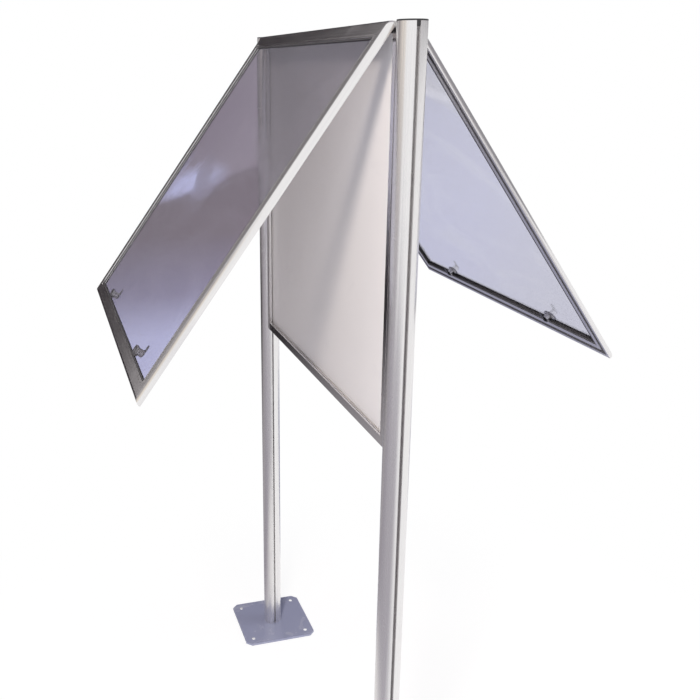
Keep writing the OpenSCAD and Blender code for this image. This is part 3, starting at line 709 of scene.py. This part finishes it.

# %% [markdown]
# ## Light
#
# The photo's light comes from the camera's end of the board: what faces that end is bright, and what
# faces away or down is dark. A small warm lamp stands high at that end. It throws the soft shadow of
# the front door's stile on the panel. A cooler one at half height fills in below it, and a wide one
# lights the rear side, which the photo doesn't show from close by. The world gives the rest.
#
# Bright metal is only as good as what it mirrors. In a white room it would be a flat white shape, so
# glowing cards stand just outside the picture, each painted with a reflection in dark, grey and pale. The
# camera doesn't see them and they light nothing, but the metal and the panes mirror them as painted
# reflections. Two more show only through a pane: they glow with a painted dim room and painted window
# light, which show through the front door.
# Each card's paint is a function of the place on it, so that a bar can turn from dark to pale along
# its length, as the bars do in the photo.


# %% Lamps
def add_lamp(name, place, target, size, power, colour):
    """A square area lamp at place that shines at target. Sizes in metres, power in watts."""
    data = bpy.data.lights.new(name, "AREA")
    data.shape = "SQUARE"
    data.size = size
    data.energy = power
    data.color = colour
    lamp = bpy.data.objects.new(name, data)
    lamp.location = place
    lamp.rotation_euler = (Vector(target) - Vector(place)).to_track_quat("-Z", "Y").to_euler()
    lamp.visible_camera = lamp.visible_glossy = lamp.visible_transmission = False
    bpy.context.scene.collection.objects.link(lamp)
    return lamp


add_lamp("near lamp", place=(1.8, -1.05, 1.3), target=(0.2, 0, 1.3), size=0.7, power=15.0,
         colour=(0.92, 0.94, 1.0))
add_lamp("high front lamp", place=(2.1, -1.15, 3.0), target=(0.3, 0, 1.7), size=0.4, power=62.0,
         colour=(1.0, 0.90, 0.79))
add_lamp("rear fill", place=(0.6, 3.6, 2.2), target=(0, 0, 1.3), size=2.4, power=34.0,
         colour=(0.96, 0.96, 1.0))
print("lamps: 3")


# %% Painted reflections for the cards
FAR_END, FRONT, REAR = -5.5, -4.5, 3.6
DARK, DARK_FLOOR, DARK_FRONT = (0.018, 0.013, 0.017, 1), (0.015, 0.013, 0.015, 1), (0.2, 0.18, 0.2, 1)
MIDDLE, PALE = (0.5, 0.47, 0.48, 1), (0.9, 0.885, 0.88, 1)
WARM_GREY, COOL_GREY, REAR_GREY = (0.86, 0.80, 0.72, 1), (0.44, 0.42, 0.46, 1), (0.33, 0.32, 0.34, 1)
NEAR_FLOOR, REAR_FLOOR, FOOT_GREY = (0.4, 0.38, 0.4, 1), (0.33, 0.33, 0.43, 1), (0.34, 0.32, 0.36, 1)

# The door's bars mirror the far card from one end to the other along this direction in Y and Z.
BAR_DIRECTION = (0.85, -0.53)
DARK_EDGE, PALE_RISE = (-2.95, -3.2), (-3.3, -4.2)

FAR_FLOOR_RISE, REAR_FLOOR_RISE = (-4.0, -1.5), (-0.5, 0.3)
FRONT_RISE, WARM_RISE = (-4.0, 0.5), (0.6, 2.2)
BRIGHT_SPOT, SPOT_EDGE = (0.15, -0.1), (0.35, 0.85)
FOOT_RISE, END_RISE, END_SLANT = (-1.0, 1.0), (-0.3, 0.4), 0.2
REAR_RISE, LOW_REAR_FALL = (3.0, 5.0), (4.2, 5.2)


# Each paint below is a painted reflection: the card glows with it, and only the metal and the panes show
# it.
def paint_far_card(tree, at):
    """Dark, with a pale side towards the front."""
    along = weighted_sum(tree, at["Y"], at["Z"], *BAR_DIRECTION)
    near = blend_colours(tree, ramp(tree, along, *PALE_RISE), MIDDLE, PALE)
    return blend_colours(tree, ramp(tree, along, *DARK_EDGE), DARK, near)


def paint_far_floor(tree, at):
    """Mirrored by what faces down: dark far away at the front, brighter near the board and at the rear."""
    front = blend_colours(tree, ramp(tree, at["X"], *FAR_FLOOR_RISE), DARK_FLOOR, NEAR_FLOOR)
    return blend_colours(tree, ramp(tree, at["Y"], *REAR_FLOOR_RISE), front, REAR_FLOOR)


def paint_front_card(tree, at):
    """Cool and low in light near the floor, warm and brighter at the height of the posts' tops."""
    height = blend_colours(tree, ramp(tree, at["Z"], *WARM_RISE), COOL_GREY, WARM_GREY)
    return blend_colours(tree, ramp(tree, at["X"], *FRONT_RISE), DARK_FRONT, height)


def paint_front_floor(tree, at):
    """Grey, but bright between the posts and towards the board's near end."""
    grey = blend_colours(tree, ramp(tree, at["X"], *FOOT_RISE), FOOT_GREY, COOL_GREY)
    from_spot = distance_from_zero(tree, add_sum(tree, "SUBTRACT", at["X"], BRIGHT_SPOT[0]),
                                   add_sum(tree, "SUBTRACT", at["Y"], BRIGHT_SPOT[1]))
    bright = blend_colours(tree, ramp(tree, from_spot, *SPOT_EDGE), PALE, grey)
    towards_end = weighted_sum(tree, at["Y"], at["X"], 1.0, END_SLANT)
    return blend_colours(tree, ramp(tree, towards_end, *END_RISE), bright, WHITE)


def paint_rear_card(tree, at):
    """Grey, and paler beyond the camera's end. The rear door's stile mirrors it."""
    return blend_colours(tree, ramp(tree, at["X"], *REAR_RISE), REAR_GREY, MIDDLE)


def paint_low_rear_card(tree, at):
    """White, which the near post mirrors beside its groove, and grey beyond the camera's end."""
    return blend_colours(tree, ramp(tree, at["X"], *LOW_REAR_FALL), WHITE, MIDDLE)


# %% Painted room behind the front pane, with painted light
ROOM_FRONT, ROOM_REAR, ROOM_NEAR_END, ROOM_HEIGHT = -1.2, 1.6, -1.6, 3.2
FRONT_FADE, REAR_FADE = (-0.7, ROOM_FRONT), (1.25, ROOM_REAR)
TOP_FADE, END_FADE = (2.3, ROOM_HEIGHT), (-2.6, ROOM_NEAR_END)
FOOT_FADE, FLOOR_RISE = (0.55, 0.0), (FAR_END, -4.2)
# These colours glow as a painted room: its window light and its bright floor are painted light, seen only
# through a pane.
ROOM_LOW, ROOM_HIGH, PAINTED_WINDOW_LIGHT = (0.33, 0.27, 0.31, 1), (0.55, 0.48, 0.56, 1), (1.2, 1.27, 1.8, 1)
ROOM_FOOT, ROOM_FLOOR = (0.49, 0.46, 0.66, 1), (0.98, 1.03, 1.42, 1)
LINE_SLOPE, LINE_HEIGHT = 0.35, (0.69, 0.72)
WINDOW_ACROSS, WINDOW_UP, WINDOW_EDGE = (0.25, 1.0), (0.62, 0.92), (1.0, 0.35)


def fade_sides(tree, at, colour):
    """Turns a colour white towards both sides of the room, so that the cards have no hard edge."""
    front = blend_colours(tree, ramp(tree, at["Y"], *FRONT_FADE), colour, WHITE)
    return blend_colours(tree, ramp(tree, at["Y"], *REAR_FADE), front, WHITE)


def paint_room(tree, at):
    """A painted dim wall, paler above a sloping line, with painted window light just above that line."""
    above_line = weighted_sum(tree, at["Z"], at["Y"], 1.0, -LINE_SLOPE)
    upper = ramp(tree, above_line, *LINE_HEIGHT)
    wall = blend_colours(tree, upper, ROOM_LOW, ROOM_HIGH)
    foot = blend_colours(tree, ramp(tree, at["Z"], *FOOT_FADE), wall, ROOM_FOOT)
    from_window = distance_from_zero(tree, between(tree, at["Y"], -1.0, 1.0, *WINDOW_ACROSS),
                                     between(tree, above_line, -1.0, 1.0, *WINDOW_UP))
    light = add_node(tree, "ShaderNodeMapRange", {
        "Value": from_window, "From Min": WINDOW_EDGE[0], "From Max": WINDOW_EDGE[1]},
        interpolation_type="SMOOTHSTEP").outputs[0]
    lit = blend_colours(tree, add_sum(tree, "MULTIPLY", light, upper), foot, PAINTED_WINDOW_LIGHT)
    return fade_sides(tree, at, blend_colours(tree, ramp(tree, at["Z"], *TOP_FADE), lit, WHITE))


def paint_room_floor(tree, at):
    """A painted room floor, glowing brighter the nearer it is, and white where the painted room ends."""
    lit = blend_colours(tree, ramp(tree, at["X"], *FLOOR_RISE), ROOM_FOOT, ROOM_FLOOR)
    return fade_sides(tree, at, blend_colours(tree, ramp(tree, at["X"], *END_FADE), lit, WHITE))


# %% Cards
def glow_material(name, paint):
    """A material that glows with the painted colours of a paint function and reflects nothing."""
    material, tree, shader, place = new_material(name)
    glow = add_node(tree, "ShaderNodeEmission", {
        "Color": paint(tree, add_node(tree, "ShaderNodeSeparateXYZ", {0: place}).outputs)})
    output = next(n for n in tree.nodes if n.type == "OUTPUT_MATERIAL")
    tree.links.new(glow.outputs[0], output.inputs["Surface"])
    tree.nodes.remove(shader)
    return material


def add_card(name, low_corner, high_corner, paint, mirrored=True):
    """A flat card between two corners.

    It shows either in what is mirrored or through what is clear, and nowhere else.
    """
    low, high = Vector(low_corner), Vector(high_corner)
    size = high - low
    shape = bmesh.new()
    bmesh.ops.create_grid(shape, x_segments=1, y_segments=1, size=0.5)
    if size.z:
        axis = "X" if size.x else "Y"
        bmesh.ops.rotate(shape, cent=(0, 0, 0), matrix=Matrix.Rotation(math.radians(90), 3, axis),
                         verts=shape.verts)
    bmesh.ops.scale(shape, vec=[s or 1.0 for s in size], verts=shape.verts)
    bmesh.ops.translate(shape, vec=(low + high) / 2, verts=shape.verts)
    mesh = bpy.data.meshes.new(name)
    shape.to_mesh(mesh)
    shape.free()
    mesh.materials.append(glow_material(name, paint))
    card = bpy.data.objects.new(name, mesh)
    card.visible_camera = card.visible_diffuse = card.visible_shadow = False
    card.visible_glossy = mirrored
    card.visible_transmission = not mirrored
    bpy.context.scene.collection.objects.link(card)
    return card


ON_FLOOR, ON_CARD = 0.003, 0.004
FAR_FRONT, FAR_REAR, FAR_TOP = -5.0, 2.4, 6.0
FRONT_NEAR_END, FRONT_TOP = 2.4, 4.5
FLOOR_SPLIT, FRONT_FLOOR_END, FRONT_FLOOR_REAR = -0.9, 5.0, -0.05
REAR_FAR_END, LOW_REAR_FAR_END, REAR_NEAR_END = -4.0, 2.4, 6.5
REAR_SPLIT, REAR_TOP = 2.1, 4.6

cards = (
    add_card("far card", (FAR_END, FAR_FRONT, 0.0), (FAR_END, FAR_REAR, FAR_TOP), paint_far_card),
    add_card("far floor card", (FAR_END, FAR_FRONT, ON_FLOOR), (FLOOR_SPLIT, FAR_REAR, ON_FLOOR),
             paint_far_floor),
    add_card("front card", (FAR_END, FRONT, 0.0), (FRONT_NEAR_END, FRONT, FRONT_TOP), paint_front_card),
    add_card("front floor card", (FLOOR_SPLIT, FRONT, ON_FLOOR),
             (FRONT_FLOOR_END, FRONT_FLOOR_REAR, ON_FLOOR), paint_front_floor),
    add_card("rear card", (REAR_FAR_END, REAR, REAR_SPLIT), (REAR_NEAR_END, REAR, REAR_TOP),
             paint_rear_card),
    add_card("low rear card", (LOW_REAR_FAR_END, REAR, 0.0), (REAR_NEAR_END, REAR, REAR_SPLIT),
             paint_low_rear_card),
    add_card("room wall", (FAR_END, ROOM_FRONT, 0.0), (FAR_END, ROOM_REAR, ROOM_HEIGHT),
             paint_room, mirrored=False),
    add_card("room floor", (FAR_END, ROOM_FRONT, ON_CARD), (ROOM_NEAR_END, ROOM_REAR, ON_CARD),
             paint_room_floor, mirrored=False),
)
print("cards:", len(cards))

# %% [markdown]
# ## Picture settings
#
# The Standard view transform shows a colour as it is written.

# %% Finish
bpy.context.scene.view_settings.view_transform = "Standard"
